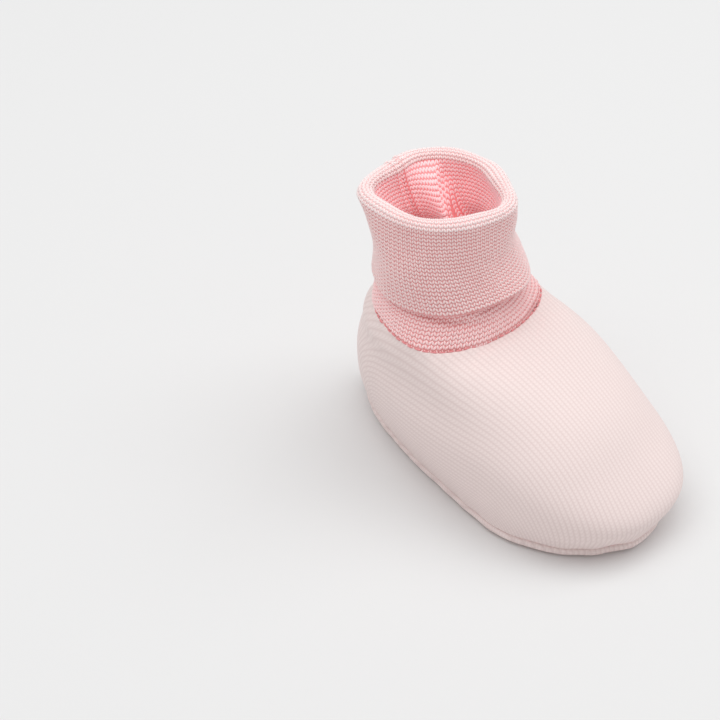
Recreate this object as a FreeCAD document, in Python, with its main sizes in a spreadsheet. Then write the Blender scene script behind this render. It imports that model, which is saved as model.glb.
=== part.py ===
"""Soft cotton baby bootie: jersey foot, padded sole, full lining and a turned-down rib-knit cuff.

Millimetres, +Z up. The origin is on the ground under the middle of the foot, with the toe towards -Y,
the heel towards +Y and X across the foot. Every horizontal section is an oval of four tangent arcs:
a toe arc, a heel arc and two equal side arcs. Its "tuck" is how much smaller an end arc's radius is
than the half width, so a wide oval has a negative tuck. Insetting all four arcs by one amount keeps
the tucks, which is how each ply of cloth lies inside the one outside it.
"""

import FreeCAD
import Part
import math
import os
import Sketcher

V = FreeCAD.Vector

SIZES = {
    # Foot: overall sizes, and how far each section is drawn in from them. The vamp and instep
    # sections hang below the ankle opening by their drops.
    "foot_length": 105.0,
    "foot_width": 62.0,
    "ground_toe_back": 3.5,
    "ground_heel_back": 3.5,
    "ground_side_back": 3.5,
    "ground_toe_tuck": 2.0,
    "ground_heel_tuck": 7.5,
    "welt_height": 3.4,
    "welt_toe_back": 0.5,
    "welt_heel_back": 0.5,
    "welt_side_back": 1.0,
    "welt_toe_tuck": 2.0,
    "welt_heel_tuck": 8.0,
    "belly_height": 12.0,
    "belly_toe_back": 0.0,
    "belly_heel_back": 0.0,
    "belly_side_back": 0.0,
    "belly_toe_tuck": 2.0,
    "belly_heel_tuck": 8.0,
    "vamp_drop": 21.0,
    "vamp_toe_back": 7.5,
    "vamp_heel_back": 1.2,
    "vamp_side_back": 0.8,
    "vamp_toe_tuck": 2.5,
    "vamp_heel_tuck": 6.0,
    "instep_drop": 10.0,
    "instep_toe_back": 23.5,
    "instep_heel_back": 5.8,
    "instep_side_back": 4.0,
    "instep_toe_tuck": 2.5,
    "instep_heel_tuck": 1.5,
    # Ankle opening, where the cuff is sewn to the foot.
    "ankle_height": 45.0,
    "ankle_length": 44.0,
    "ankle_width": 50.0,
    "ankle_heel_back": 12.0,
    "ankle_tuck": -2.1,
    # Cuff: sections of the turned-down outer layer, rising and leaning from the ankle opening.
    "hem_rise": 10.0,
    "hem_length": 41.6,
    "hem_width": 47.4,
    "hem_tuck": -2.0,
    "hem_lean_side": 0.0,
    "hem_lean_back": 0.6,
    "waist_rise": 22.0,
    "waist_length": 38.4,
    "waist_width": 42.4,
    "waist_tuck": -1.4,
    "waist_lean_side": 2.0,
    "waist_lean_back": 2.6,
    "brow_rise": 32.0,
    "brow_length": 40.0,
    "brow_width": 40.8,
    "brow_tuck": -0.28,
    "brow_lean_side": 3.0,
    "brow_lean_back": 4.8,
    "rim_rise": 37.5,
    "rim_length": 40.4,
    "rim_width": 41.2,
    "rim_tuck": -0.28,
    "rim_lean_side": 3.2,
    "rim_lean_back": 5.4,
    "rim_depth": 3.2,
    "rim_round": 1.4,
    # Cloth, thread and the slack between plies.
    "cuff_cloth": 2.0,
    "fold_gap": 0.4,
    "upper_cloth": 1.4,
    "sole_cloth": 1.4,
    "lining_cloth": 1.0,
    "ply_gap": 0.15,
    "thread": 0.5,
    "thread_gap": 0.05,
}

SEAM_POINTS = 9


class Size:
    """A length that knows its value and the sheet expression that drives it."""

    def __init__(self, text, value):
        self.text = text
        self.value = value

    def __add__(self, other):
        return Size(f"({self.text} + {other.text})", self.value + other.value)

    def __sub__(self, other):
        return Size(f"({self.text} - {other.text})", self.value - other.value)

    def half(self):
        return Size(f"({self.text} / 2)", self.value / 2.0)

    def minus(self):
        return Size(f"(-1 * {self.text})", -self.value)


def size(alias):
    return Size(f"Sizes.{alias}", SIZES[alias])


ZERO = Size("0", 0.0)


class Oval:
    """A four-arc oval: its middle, its height, its half sizes and its two end tucks."""

    def __init__(self, side, back, height, half_width, half_length, toe_tuck, heel_tuck):
        self.side = side
        self.back = back
        self.height = height
        self.half_width = half_width
        self.half_length = half_length
        self.toe_tuck = toe_tuck
        self.heel_tuck = heel_tuck

    def inset(self, depth, drop=ZERO):
        """The same oval one ply further in, and lower by the drop."""
        return Oval(
            self.side,
            self.back,
            self.height - drop,
            self.half_width - depth,
            self.half_length - depth,
            self.toe_tuck,
            self.heel_tuck,
        )

    def at(self, height):
        """The same oval at another height."""
        return Oval(
            self.side,
            self.back,
            height,
            self.half_width,
            self.half_length,
            self.toe_tuck,
            self.heel_tuck,
        )


def foot_oval(level, height):
    """A section of the foot, drawn in from the overall length and width."""
    toe = size("foot_length").half() - size(f"{level}_toe_back")
    heel = size("foot_length").half() - size(f"{level}_heel_back")
    half_width = size("foot_width").half() - size(f"{level}_side_back")
    toe_tuck = size(f"{level}_toe_tuck")
    heel_tuck = size(f"{level}_heel_tuck")
    return Oval(ZERO, (heel - toe).half(), height, half_width, (heel + toe).half(), toe_tuck, heel_tuck)


def ankle_oval():
    """The ankle opening, set forward from the back of the heel."""
    half_length = size("ankle_length").half()
    back = size("foot_length").half() - size("ankle_heel_back") - half_length
    half_width = size("ankle_width").half()
    tuck = size("ankle_tuck")
    return Oval(ZERO, back, size("ankle_height"), half_width, half_length, tuck, tuck)


def cuff_oval(level):
    """A section of the cuff's outside, leaning from the middle of the ankle opening."""
    side = size(f"{level}_lean_side").minus()
    back = ankle_oval().back + size(f"{level}_lean_back")
    half_width = size(f"{level}_width").half()
    half_length = size(f"{level}_length").half()
    tuck = size(f"{level}_tuck")
    height = size("ankle_height") + size(f"{level}_rise")
    return Oval(side, back, height, half_width, half_length, tuck, tuck)


def make_sheet(doc):
    sheet = doc.addObject("Spreadsheet::Sheet", "Sizes")
    for row, (alias, value) in enumerate(SIZES.items(), start=1):
        sheet.set(f"A{row}", alias)
        sheet.set(f"B{row}", str(value))
        sheet.setAlias(f"B{row}", alias)
    doc.recompute()
    return sheet


def make_body(doc, label):
    body = doc.addObject("PartDesign::Body", label)
    body.Label = label
    body.Placement = FreeCAD.Placement()
    return body


def ground_plane(body):
    return next(f for f in body.Origin.OriginFeatures if f.Role == "XY_Plane")


def side_centre(half_width, half_length, toe_tuck, heel_tuck):
    """Where the centre of the right-hand side arc lies, for arcs tangent to both end arcs."""
    toe_centre = -half_length + (half_width - toe_tuck)
    heel_centre = half_length - (half_width - heel_tuck)
    span = abs(heel_centre - toe_centre)

    def reach(out):
        toe_part = math.sqrt(toe_tuck**2 + 2.0 * abs(toe_tuck) * out)
        heel_part = math.sqrt(heel_tuck**2 + 2.0 * abs(heel_tuck) * out)
        return toe_part + heel_part

    low = 0.0
    high = 1.0e5
    for _ in range(100):
        middle = (low + high) / 2.0
        if reach(middle) < span:
            low = middle
        else:
            high = middle
    sign = math.copysign(1.0, toe_tuck)
    along = toe_centre + sign * math.sqrt(toe_tuck**2 + 2.0 * abs(toe_tuck) * low)
    return sign * low, along, toe_centre, heel_centre


def oval_sketch(body, name, oval):
    """A horizontal four-arc oval with every size bound to the sheet."""
    sketch = body.newObject("Sketcher::SketchObject", name)
    sketch.AttachmentSupport = [(ground_plane(body), "")]
    sketch.MapMode = "FlatFace"
    middle = V(oval.side.value, oval.back.value, oval.height.value)
    sketch.AttachmentOffset = FreeCAD.Placement(middle, FreeCAD.Rotation())
    sketch.setExpression(".AttachmentOffset.Base.x", oval.side.text)
    sketch.setExpression(".AttachmentOffset.Base.y", oval.back.text)
    sketch.setExpression(".AttachmentOffset.Base.z", oval.height.text)

    half_width = oval.half_width.value
    half_length = oval.half_length.value
    toe_tuck = oval.toe_tuck.value
    heel_tuck = oval.heel_tuck.value
    out, along, toe_centre, heel_centre = side_centre(half_width, half_length, toe_tuck, heel_tuck)
    sign = math.copysign(1.0, toe_tuck)
    heel_angle = math.atan2(sign * (heel_centre - along), sign * out)
    toe_angle = math.atan2(sign * (toe_centre - along), sign * out)
    side_radius = half_width + out

    up = V(0, 0, 1)
    turn = math.pi
    heel_circle = Part.Circle(V(0, heel_centre, 0), up, half_width - heel_tuck)
    toe_circle = Part.Circle(V(0, toe_centre, 0), up, half_width - toe_tuck)
    left_circle = Part.Circle(V(out, along, 0), up, side_radius)
    right_circle = Part.Circle(V(-out, along, 0), up, side_radius)
    arcs = [
        Part.ArcOfCircle(heel_circle, heel_angle, turn - heel_angle),
        Part.ArcOfCircle(left_circle, turn - heel_angle, turn - toe_angle),
        Part.ArcOfCircle(toe_circle, turn - toe_angle, 2 * turn + toe_angle),
        Part.ArcOfCircle(right_circle, toe_angle, heel_angle),
    ]
    heel, left, toe, right = (sketch.addGeometry(arc, False) for arc in arcs)
    widest = sketch.addGeometry(Part.Point(V(half_width, along, 0)), True)
    heel_end = sketch.addGeometry(Part.Point(V(0, half_length, 0)), True)
    toe_end = sketch.addGeometry(Part.Point(V(0, -half_length, 0)), True)

    ring = [heel, left, toe, right]
    for first, second in zip(ring, ring[1:] + ring[:1]):
        sketch.addConstraint(Sketcher.Constraint("Tangent", first, 2, second, 1))
    for arc, point in ((heel, heel_end), (toe, toe_end)):
        sketch.addConstraint(Sketcher.Constraint("PointOnObject", arc, 3, -2))
        sketch.addConstraint(Sketcher.Constraint("PointOnObject", point, 1, -2))
        sketch.addConstraint(Sketcher.Constraint("PointOnObject", point, 1, arc))
    sketch.addConstraint(Sketcher.Constraint("Equal", left, right))
    sketch.addConstraint(Sketcher.Constraint("PointOnObject", widest, 1, right))
    sketch.addConstraint(Sketcher.Constraint("Horizontal", widest, 1, right, 3))

    driven = [
        ("Radius", (heel,), oval.half_width - oval.heel_tuck),
        ("Radius", (toe,), oval.half_width - oval.toe_tuck),
        ("DistanceX", (-1, 1, widest, 1), oval.half_width),
        ("DistanceY", (-1, 1, heel_end, 1), oval.half_length),
        ("DistanceY", (toe_end, 1, -1, 1), oval.half_length),
    ]
    for kind, places, length in driven:
        index = sketch.addConstraint(Sketcher.Constraint(kind, *places, length.value))
        sketch.setExpression(f"Constraints[{index}]", length.text)
    return sketch


def add_loft(body, kind, name, ovals):
    """A loft through horizontal ovals, from the lowest to the highest."""
    sketches = [oval_sketch(body, f"{name}_{i}", oval) for i, oval in enumerate(ovals)]
    loft = body.newObject(f"PartDesign::{kind}Loft", name)
    loft.Profile = sketches[0]
    loft.Sections = sketches[1:]
    loft.Ruled = False
    body.Tip = loft
    return loft


def add_pad(body, name, oval, depth):
    pad = body.newObject("PartDesign::Pad", name)
    pad.Profile = oval_sketch(body, f"{name}_outline", oval)
    pad.Length = depth.value
    pad.setExpression("Length", depth.text)
    body.Tip = pad
    return pad


def add_pocket(body, name, oval, depth):
    """A pocket cut downwards from the oval's height."""
    pocket = body.newObject("PartDesign::Pocket", name)
    pocket.Profile = oval_sketch(body, f"{name}_outline", oval)
    pocket.Length = depth.value
    pocket.setExpression("Length", depth.text)
    body.Tip = pocket
    return pocket


GROUND = foot_oval("ground", ZERO)
WELT = foot_oval("welt", size("welt_height"))
BELLY = foot_oval("belly", size("belly_height"))
VAMP = foot_oval("vamp", size("ankle_height") - size("vamp_drop"))
INSTEP = foot_oval("instep", size("ankle_height") - size("instep_drop"))
ANKLE = ankle_oval()


def foot_skin(depth, lowest):
    """The foot's sections some plies in, sunk by the same depth so that sloping cloth keeps it too."""
    upper_sections = [oval.inset(depth, depth) for oval in (BELLY, VAMP, INSTEP, ANKLE)]
    return [WELT.inset(depth).at(lowest)] + upper_sections


def foot_neck(depth):
    """The short upright neck that brings a sunken skin back up to the ankle opening."""
    return [ANKLE.inset(depth, depth), ANKLE.inset(depth)]


def make_sole_outer(doc):
    """Bottom ply of the sole, turned up all round to meet the upper at the welt."""
    cloth = size("sole_cloth")
    body = make_body(doc, "sole_outer")
    add_loft(body, "Additive", "sole_shape", [GROUND, WELT])
    add_loft(body, "Subtractive", "sole_hollow", [GROUND.inset(cloth).at(cloth), WELT.inset(cloth)])
    return body


def make_sole_padding(doc):
    """Wadding that fills the turned-up sole level with the welt."""
    depth = size("sole_cloth") + size("ply_gap")
    body = make_body(doc, "sole_padding")
    low = GROUND.inset(depth).at(size("sole_cloth"))
    add_loft(body, "Additive", "padding_shape", [low, WELT.inset(depth)])
    return body


def make_sole_lining(doc):
    """Lining insole, laid on the wadding and reaching out under the upper's lining."""
    body = make_body(doc, "sole_lining")
    add_pad(body, "insole", WELT.inset(size("upper_cloth") + size("ply_gap")), size("lining_cloth"))
    return body


def make_upper_outer(doc):
    """Jersey upper: one ply over the toe, sides and heel, open at the welt and at the ankle."""
    cloth = size("upper_cloth")
    body = make_body(doc, "upper_outer")
    add_loft(body, "Additive", "upper_shape", [WELT, BELLY, VAMP, INSTEP, ANKLE])
    add_loft(body, "Subtractive", "upper_hollow", foot_skin(cloth, size("welt_height")))
    add_loft(body, "Subtractive", "upper_neck", foot_neck(cloth))
    return body


def make_upper_lining(doc):
    """Lining ply inside the upper, standing on the lining insole."""
    outside = size("upper_cloth") + size("ply_gap")
    inside = outside + size("lining_cloth")
    lowest = size("welt_height") + size("lining_cloth")
    body = make_body(doc, "upper_lining")
    add_loft(body, "Additive", "lining_shape", foot_skin(outside, lowest))
    add_loft(body, "Additive", "lining_collar", foot_neck(outside))
    add_loft(body, "Subtractive", "lining_hollow", foot_skin(inside, lowest))
    add_loft(body, "Subtractive", "lining_neck", foot_neck(inside))
    return body


def make_cuff(doc):
    """Rib-knit band: a standing wall that folds over at the rim and hangs outside itself."""
    cloth = size("cuff_cloth")
    turned = cloth + size("fold_gap")
    both = turned + cloth
    hem, waist, brow, rim = (cuff_oval(level) for level in ("hem", "waist", "brow", "rim"))
    fold = rim.at(rim.height - size("rim_depth"))
    shoulder = rim.at(rim.height - size("rim_round"))
    turn = [hem, waist, brow, fold]
    mouth = shoulder.inset(both)
    body = make_body(doc, "cuff")
    add_loft(body, "Additive", "flap_shape", [hem, waist, brow, shoulder])
    add_loft(body, "Additive", "rim_crown", [shoulder, rim.inset(size("rim_round"))])
    add_loft(body, "Subtractive", "flap_hollow", [oval.inset(cloth) for oval in turn])
    add_loft(body, "Additive", "wall_shape", [oval.inset(turned) for oval in turn])
    add_loft(body, "Additive", "collar_shape", [ANKLE, hem.inset(turned)])
    add_loft(body, "Subtractive", "collar_entry", [ANKLE.inset(cloth), hem.inset(both)])
    bore = [oval.inset(both) for oval in (hem, waist, brow)] + [mouth]
    add_loft(body, "Subtractive", "foot_entry", bore)
    flare = rim.inset(both - size("rim_round"))
    add_loft(body, "Subtractive", "mouth_flare", [mouth, flare])
    return body


def make_ring_thread(doc, label, oval, low, inside):
    """A seam's thread round an oval: outside it in a crease, or inside it in a corner."""
    thread = size("thread")
    gap = size("thread_gap")
    body = make_body(doc, label)
    outline = oval.inset(gap) if inside else oval.inset((gap + thread).minus())
    core = oval.inset(gap + thread) if inside else oval.inset(gap.minus())
    add_pad(body, f"{label}_outside", outline.at(low), thread)
    add_pocket(body, f"{label}_inside", core.at(low + thread), thread)
    return body


def back_wall(shape, side, height, outermost):
    """The y of a shell's back wall at one height: its outer face, or its inner one."""
    middle = ANKLE.back.value
    probe = Part.makeLine(V(side, middle, height), V(side, middle + SIZES["foot_length"], height))
    hits = [vertex.Y for vertex in probe.common(shape).Vertexes]
    return max(hits) if outermost else min(hits)


def make_back_thread(doc, label, host, sides, low, high, outermost):
    """The thread of a centre-back seam, following the host's wall from low to high."""
    reach = SIZES["thread"] / 2.0 + SIZES["thread_gap"]
    points = []
    for step in range(SEAM_POINTS):
        share = step / (SEAM_POINTS - 1)
        height = low + (high - low) * share
        side = sides[0] + (sides[1] - sides[0]) * share
        wall = back_wall(host.Shape, side, height, outermost)
        points.append(V(side, wall + reach if outermost else wall - reach, height))
    curve = Part.BSplineCurve()
    curve.interpolate(points)
    path = Part.Wire([curve.toShape()])
    start = curve.tangent(curve.FirstParameter)[0]
    section = Part.Wire([Part.makeCircle(SIZES["thread"] / 2.0, points[0], start)])
    thread = doc.addObject("Part::Feature", label)
    thread.Label = label
    thread.Shape = path.makePipeShell([section], True, False)
    thread.Placement = FreeCAD.Placement()
    return thread


def make_threads(doc, hosts):
    """Every seam's sewing thread."""
    thread = size("thread")
    gap = size("thread_gap")
    insole_top = size("welt_height") + size("lining_cloth")
    lining_depth = size("upper_cloth") + size("ply_gap") + size("lining_cloth")
    lining_face = WELT.inset(lining_depth)
    margin = SIZES["thread"] * 2.0
    seams = [
        make_ring_thread(doc, "ankle_seam_thread", ANKLE, ANKLE.height + gap, False),
        make_ring_thread(doc, "sole_seam_thread", WELT, WELT.height - thread, False),
        make_ring_thread(doc, "lining_sole_seam_thread", lining_face, insole_top + gap, True),
    ]
    ankle = SIZES["ankle_height"]
    welt = SIZES["welt_height"]
    upper = hosts["upper_outer"]
    lining = hosts["upper_lining"]
    cuff = hosts["cuff"]
    lean = -SIZES["rim_lean_side"]
    fold = ankle + SIZES["rim_rise"] - SIZES["rim_depth"]
    lining_low = insole_top.value + margin
    lining_high = ankle - lining_depth.value - margin
    seams.append(
        make_back_thread(doc, "heel_seam_thread", upper, (0, 0), welt + margin, ankle - margin, True)
    )
    seams.append(
        make_back_thread(
            doc, "lining_heel_seam_thread", lining, (0, 0), lining_low, lining_high, False
        )
    )
    seams.append(
        make_back_thread(doc, "cuff_seam_thread", cuff, (0, lean), ankle + margin, fold, False)
    )
    return seams


def check(doc, parts):
    """Stops if any object failed or any sub-part is empty or broken."""
    for item in doc.Objects:
        bad = [state for state in item.State if state in ("Invalid", "Error")]
        if bad:
            raise RuntimeError(f"{item.Name} is {bad}")
    for part in parts:
        if part.Shape.isNull() or not part.Shape.isValid() or part.Shape.Volume <= 0:
            raise RuntimeError(f"{part.Label} has no sound shape")


def main():
    doc = FreeCAD.newDocument("baby_bootie")
    make_sheet(doc)
    makers = (
        make_sole_outer,
        make_sole_padding,
        make_sole_lining,
        make_upper_outer,
        make_upper_lining,
        make_cuff,
    )
    cloths = [maker(doc) for maker in makers]
    doc.recompute()
    threads = make_threads(doc, {cloth.Label: cloth for cloth in cloths})
    doc.recompute()
    parts = cloths + threads
    check(doc, parts)
    os.makedirs("parts", exist_ok=True)
    for part in parts:
        part.Shape.exportStep(f"parts/{part.Label}.step")
        box = part.Shape.BoundBox
        print(
            f"{part.Label}: volume {part.Shape.Volume:.0f} mm3, solids {len(part.Shape.Solids)}, "
            f"x {box.XMin:.2f}..{box.XMax:.2f}, y {box.YMin:.2f}..{box.YMax:.2f}, "
            f"z {box.ZMin:.2f}..{box.ZMax:.2f}"
        )


main()
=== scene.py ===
"""Soft cotton baby bootie: jersey foot, padded sole, full lining and a turned-down rib-knit cuff.

Lengths are in millimetres until a mesh is made, and meshes are in metres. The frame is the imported
model's: +Z up, the toe towards -Y, the heel towards +Y, and the origin on the ground under the foot.
Angles go round +Z from +X, so the toe is at -90 degrees and the centre-back seams are near +90.
"""

import logging
import math
from dataclasses import astuple, dataclass
from enum import Enum

import bpy
import numpy as np
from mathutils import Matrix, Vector


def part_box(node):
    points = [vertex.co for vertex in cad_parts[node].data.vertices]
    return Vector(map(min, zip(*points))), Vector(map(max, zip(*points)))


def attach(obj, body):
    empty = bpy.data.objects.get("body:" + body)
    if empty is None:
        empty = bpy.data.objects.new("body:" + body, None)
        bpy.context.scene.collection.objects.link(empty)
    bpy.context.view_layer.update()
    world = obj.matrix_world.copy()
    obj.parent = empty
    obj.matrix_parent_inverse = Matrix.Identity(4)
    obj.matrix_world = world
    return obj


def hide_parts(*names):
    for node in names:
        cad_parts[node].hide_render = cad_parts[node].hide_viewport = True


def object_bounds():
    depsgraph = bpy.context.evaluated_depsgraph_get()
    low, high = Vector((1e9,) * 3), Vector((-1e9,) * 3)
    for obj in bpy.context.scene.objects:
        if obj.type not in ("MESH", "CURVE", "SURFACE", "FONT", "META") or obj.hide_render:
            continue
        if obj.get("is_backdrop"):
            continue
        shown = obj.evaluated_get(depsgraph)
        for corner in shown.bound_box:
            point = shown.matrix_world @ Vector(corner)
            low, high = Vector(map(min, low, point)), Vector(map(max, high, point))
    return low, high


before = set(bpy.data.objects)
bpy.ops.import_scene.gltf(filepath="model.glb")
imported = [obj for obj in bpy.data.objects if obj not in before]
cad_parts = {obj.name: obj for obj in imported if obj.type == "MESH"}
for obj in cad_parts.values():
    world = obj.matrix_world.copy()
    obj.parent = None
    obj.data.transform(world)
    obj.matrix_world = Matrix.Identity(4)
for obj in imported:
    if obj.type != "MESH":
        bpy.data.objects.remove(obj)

CAD_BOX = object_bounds()
BODY = "root"
GRAIN_MAP = "grain"
NUMBER = "NodeSocketFloat"
MM = 0.001
TURN = 2.0 * math.pi
HUB = 0.04  # a flat piece's innermost ring, as a share of its edge
ANKLE_EASE = 0.6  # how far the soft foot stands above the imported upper

Array = np.ndarray
Colour = tuple[float, float, float, float]
Material = bpy.types.Material
Piece = bpy.types.Object
Socket = bpy.types.NodeSocket

log = logging.getLogger("bootie")


class Slot(Enum):
    """The material slots."""

    JERSEY = "jersey"
    RIB = "rib_knit"
    LINING = "lining"
    WADDING = "wadding"
    THREAD = "thread"


class Held(Enum):
    """How a sheet of cloth is held in the finished bootie."""

    GATHERED = "gathered"
    LAID = "laid"
    FOLDED = "folded"
    STRETCHED = "stretched"


# ---- curves and grids


def smooth(low: float, high: float, value: Array) -> Array:
    """A ramp from 0 at low to 1 at high with level ends.

    Args:
        low: Where the ramp starts.
        high: Where it ends.
        value: Where it is read.

    Returns:
        The ramp at each value.
    """
    share = np.clip((value - low) / (high - low), 0.0, 1.0)
    return share * share * (3.0 - 2.0 * share)


def swell(value: Array, middle: float, spread: float) -> Array:
    """A bell of height 1 about the middle."""
    return np.exp(-0.5 * ((value - middle) / spread) ** 2)


def turn_gap(angle: Array, middle: float) -> Array:
    """The signed angle from the middle, within half a turn either way."""
    return (angle - middle + math.pi) % TURN - math.pi


def through(stations: Array, values: Array, at: Array) -> Array:
    """A smooth cubic through values known at rising stations.

    Args:
        stations: Where the values are known, shape (k,).
        values: The values, shape (k, ...).
        at: Where to read the curve, shape (n,).

    Returns:
        The curve, shape (n, ...).
    """
    stations = np.asarray(stations, float)
    values = np.asarray(values, float)
    slopes = np.gradient(values, stations, axis=0)
    left = np.clip(np.searchsorted(stations, at) - 1, 0, len(stations) - 2)
    span = stations[left + 1] - stations[left]
    share = np.clip((at - stations[left]) / span, 0.0, 1.0)
    shape = (-1,) + (1,) * (values.ndim - 1)
    span = span.reshape(shape)
    share = share.reshape(shape)
    square = share * share
    cube = square * share
    return (
        (2 * cube - 3 * square + 1) * values[left]
        + (cube - 2 * square + share) * span * slopes[left]
        + (3 * square - 2 * cube) * values[left + 1]
        + (cube - square) * span * slopes[left + 1]
    )


def even_ring(ring: Array, columns: int) -> Array:
    """A closed ring's points spread evenly along it, from its first point.

    Args:
        ring: The ring's points, shape (n, 3).
        columns: How many points to return.

    Returns:
        The even points, shape (columns, 3).
    """
    closed = np.vstack([ring, ring[:1]])
    reach = np.concatenate([[0.0], np.cumsum(np.linalg.norm(np.diff(closed, axis=0), axis=1))])
    marks = np.arange(columns) * reach[-1] / columns
    return np.stack([np.interp(marks, reach, closed[:, axis]) for axis in range(3)], axis=1)


def grid_normals(grid: Array) -> Array:
    """Unit normals of a grid of rows that close around, to the right of the way up.

    Args:
        grid: Points, shape (rows, columns, 3).

    Returns:
        Normals of the same shape.
    """
    around = np.roll(grid, -1, axis=1) - np.roll(grid, 1, axis=1)
    along = np.gradient(grid, axis=0)
    normals = np.cross(around, along)
    return normals / np.maximum(np.linalg.norm(normals, axis=-1, keepdims=True), 1e-9)


def row_reach(grid: Array) -> Array:
    """How far each point is from its column's first one, along the column."""
    steps = np.linalg.norm(np.diff(grid, axis=0), axis=-1)
    return np.concatenate([np.zeros((1, grid.shape[1])), np.cumsum(steps, axis=0)])


def lip(distance: Array, radius: float) -> Array:
    """How far a rounded edge falls away, at a distance from the edge."""
    short = np.maximum(radius - distance, 0.0)
    return radius - np.sqrt(np.maximum(radius * radius - short * short, 0.0))


class Ripple:
    """Soft uneven waves through space, the same every time for one seed."""

    WAVES = 14

    def __init__(self, seed: int, length: float, spread: float = 0.35) -> None:
        """Draws the waves.

        Args:
            seed: Picks the waves.
            length: Their usual length in millimetres.
            spread: How much the lengths vary, as a share.
        """
        draw = np.random.default_rng(seed)
        ways = draw.normal(size=(self.WAVES, 3))
        ways /= np.linalg.norm(ways, axis=1, keepdims=True)
        lengths = length * (1.0 + spread * draw.uniform(-1.0, 1.0, self.WAVES))
        self.waves = ways * (TURN / lengths)[:, None]
        self.phases = draw.uniform(0.0, TURN, self.WAVES)

    def at(self, points: Array) -> Array:
        """The height of the waves, mostly within 1 either way."""
        return np.sin(points @ self.waves.T + self.phases).sum(axis=-1) / math.sqrt(self.WAVES)


# ---- meshes


def add_object(name: str, data: bpy.types.ID) -> Piece:
    """Puts a new object into the scene."""
    piece = bpy.data.objects.new(name, data)
    bpy.context.scene.collection.objects.link(piece)
    return piece


def surface_object(name: str, points: Array, grain: Array, closed: bool, poles: bool = False) -> Piece:
    """Makes an object of rows that close around, faces outwards, with a UV map in millimetres.

    Args:
        name: The piece's name.
        points: The rows in millimetres, shape (rows, columns, 3).
        grain: The cloth's own coordinates, shape (rows, columns + 1, 2).
        closed: Whether the last row joins the first.
        poles: Whether the first and last rows are closed with a centre point each.

    Returns:
        The new object, in the scene.
    """
    rows, columns, _ = points.shape
    low, left = np.meshgrid(np.arange(rows if closed else rows - 1), np.arange(columns), indexing="ij")
    high = (low + 1) % rows
    right = (left + 1) % columns
    quads = np.stack([low * columns + left, low * columns + right, high * columns + right,
                      high * columns + left], axis=-1).reshape(-1, 4)
    quad_rows = np.stack([low, low, high, high], axis=-1).reshape(-1, 4)
    quad_columns = np.stack([left, left + 1, left + 1, left], axis=-1).reshape(-1, 4)
    vertices = points.reshape(-1, 3)
    faces = quads.tolist()
    corners = grain[quad_rows, quad_columns].reshape(-1, 2)
    if poles:
        across = np.arange(columns)
        ahead = (across + 1) % columns
        last = (rows - 1) * columns
        first_pole = len(vertices)
        vertices = np.vstack([vertices, points[0].mean(axis=0), points[-1].mean(axis=0)])
        faces += [[first_pole, int(b), int(a)] for a, b in zip(across, ahead)]
        faces += [[last + int(a), last + int(b), first_pole + 1] for a, b in zip(across, ahead)]
        middles = [grain[0, :columns].mean(axis=0), grain[-1, :columns].mean(axis=0)]
        first = np.stack([np.broadcast_to(middles[0], (columns, 2)), grain[0, across + 1],
                          grain[0, across]], axis=1)
        final = np.stack([grain[-1, across], grain[-1, across + 1],
                          np.broadcast_to(middles[1], (columns, 2))], axis=1)
        corners = np.vstack([corners, first.reshape(-1, 2), final.reshape(-1, 2)])
    mesh = bpy.data.meshes.new(name)
    mesh.from_pydata((vertices * MM).tolist(), [], faces)
    layer = mesh.uv_layers.new(name=GRAIN_MAP)
    layer.data.foreach_set("uv", corners.astype(np.float32).ravel())
    mesh.polygons.foreach_set("use_smooth", np.ones(len(faces), bool))
    mesh.update()
    return add_object(name, mesh)


def ply_object(name: str, outer: Array, inner: Array, grain: Array) -> Piece:
    """Makes a closed ply from its two faces, which share their cloth coordinates."""
    points = np.concatenate([outer, inner[::-1]])
    return surface_object(name, points, np.concatenate([grain, grain[::-1]]), True)


def settle(piece: Piece, finish: Material, slot: Slot, nodes: tuple[str, ...]) -> None:
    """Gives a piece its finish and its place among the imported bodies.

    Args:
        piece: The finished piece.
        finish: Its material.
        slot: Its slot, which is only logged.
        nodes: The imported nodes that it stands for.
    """
    piece.data.materials.clear()
    piece.data.materials.append(finish)
    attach(piece, BODY)
    if nodes:
        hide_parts(*nodes)
    log.info("%s: %d faces, slot %s", piece.name, len(piece.data.polygons), slot.value)


@dataclass(frozen=True)
class Cut:
    """How a sheet is cut: a rectangle in millimetres, and how much of it the piece fills."""

    width: float
    length: float
    share: float = 1.0

    def lay(self, piece: Piece, held: Held, *on: str) -> None:
        """Takes a piece as a sheet of cloth and does nothing with it.

        Args:
            piece: The sheet; not used.
            held: How it is held; not used.
            *on: What it rests on or is sewn to; not used.
        """


# ---- finishes


class Graph:
    """A node graph under construction."""

    def __init__(self, graph: bpy.types.NodeTree) -> None:
        """Works on a graph."""
        self.graph = graph

    def new(self, kind: str) -> bpy.types.Node:
        """Adds a node."""
        return self.graph.nodes.new(kind)

    def feed(self, end: Socket, value: object) -> None:
        """Links a socket to an output, or sets it to a value."""
        if isinstance(value, Socket):
            self.graph.links.new(value, end)
        else:
            end.default_value = value

    def sums(self, operation: str, first: object, second: object = 0.0) -> Socket:
        """One step of arithmetic."""
        node = self.new("ShaderNodeMath")
        node.operation = operation
        self.feed(node.inputs[0], first)
        self.feed(node.inputs[1], second)
        return node.outputs[0]


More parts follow.
